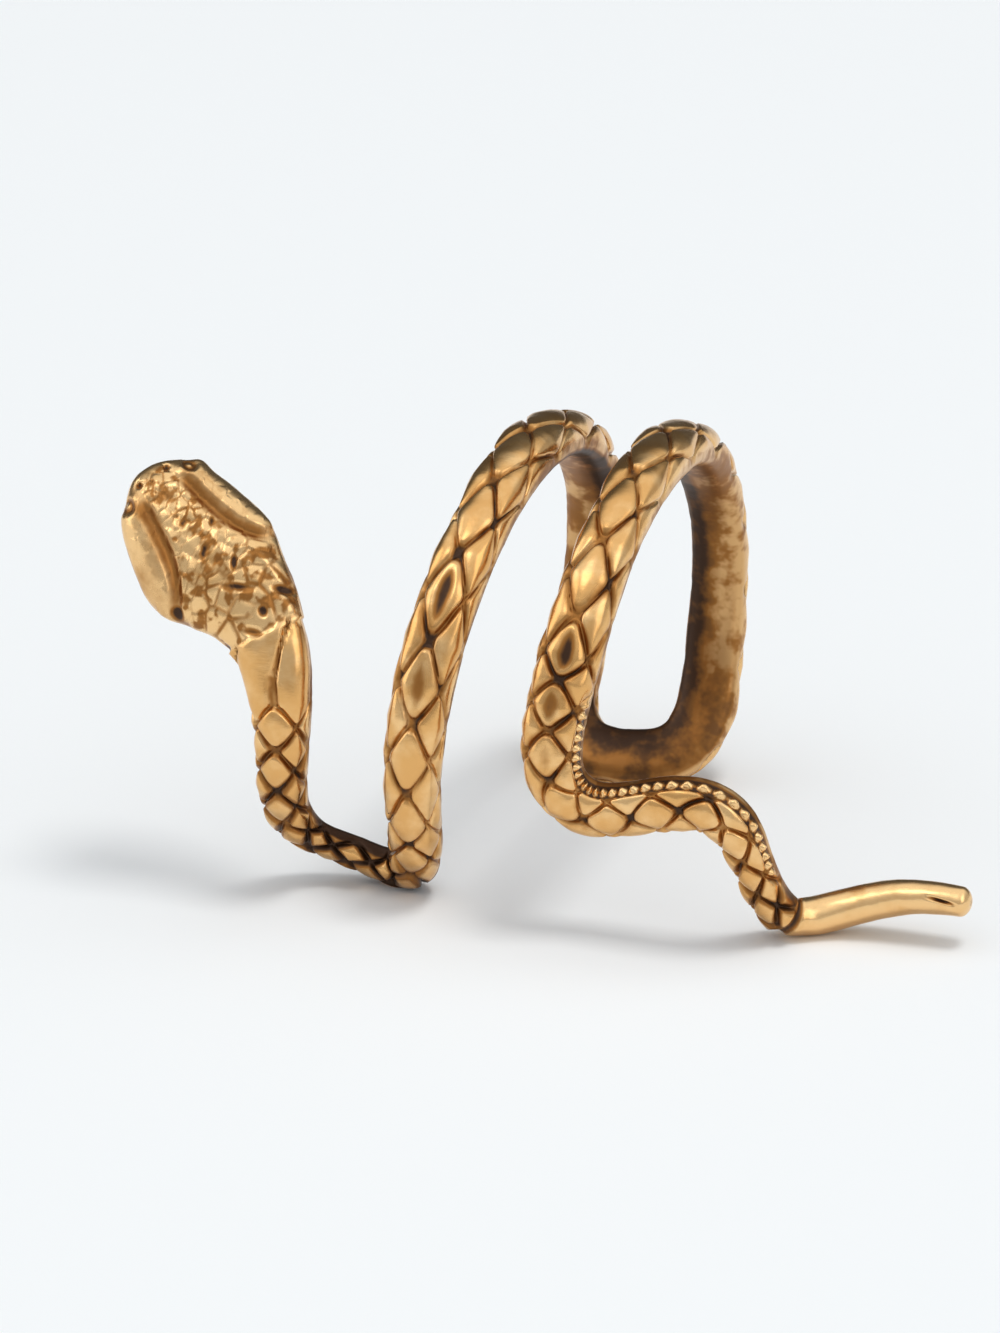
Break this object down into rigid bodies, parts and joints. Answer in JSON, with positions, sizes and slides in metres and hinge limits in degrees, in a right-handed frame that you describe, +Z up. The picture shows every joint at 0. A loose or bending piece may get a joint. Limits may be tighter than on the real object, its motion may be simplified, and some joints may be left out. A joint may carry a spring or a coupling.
{
  "type": "cigarette holder ring",
  "caption": "Finger ring cast as a scaled snake lying in hairpin turns round the finger, with a slot between its head and first band that holds a cigarette.",
  "frame": {"origin": "middle of the finger hole, half way along it", "axes": "+X along the finger, from the snake's head to its tail; +Z up, away from the surface that the ring rests on; -Y the front, where head and tail are"},
  "size_m": [0.0367, 0.0221, 0.0193],
  "materials": {
    "antique_gold": "polished antique gold: bright warm gold on the raised scales, dark brown patina in the grooves"
  },
  "bodies": {
    "root": {"snake_ring": "antique_gold"}
  },
  "joints": []
}
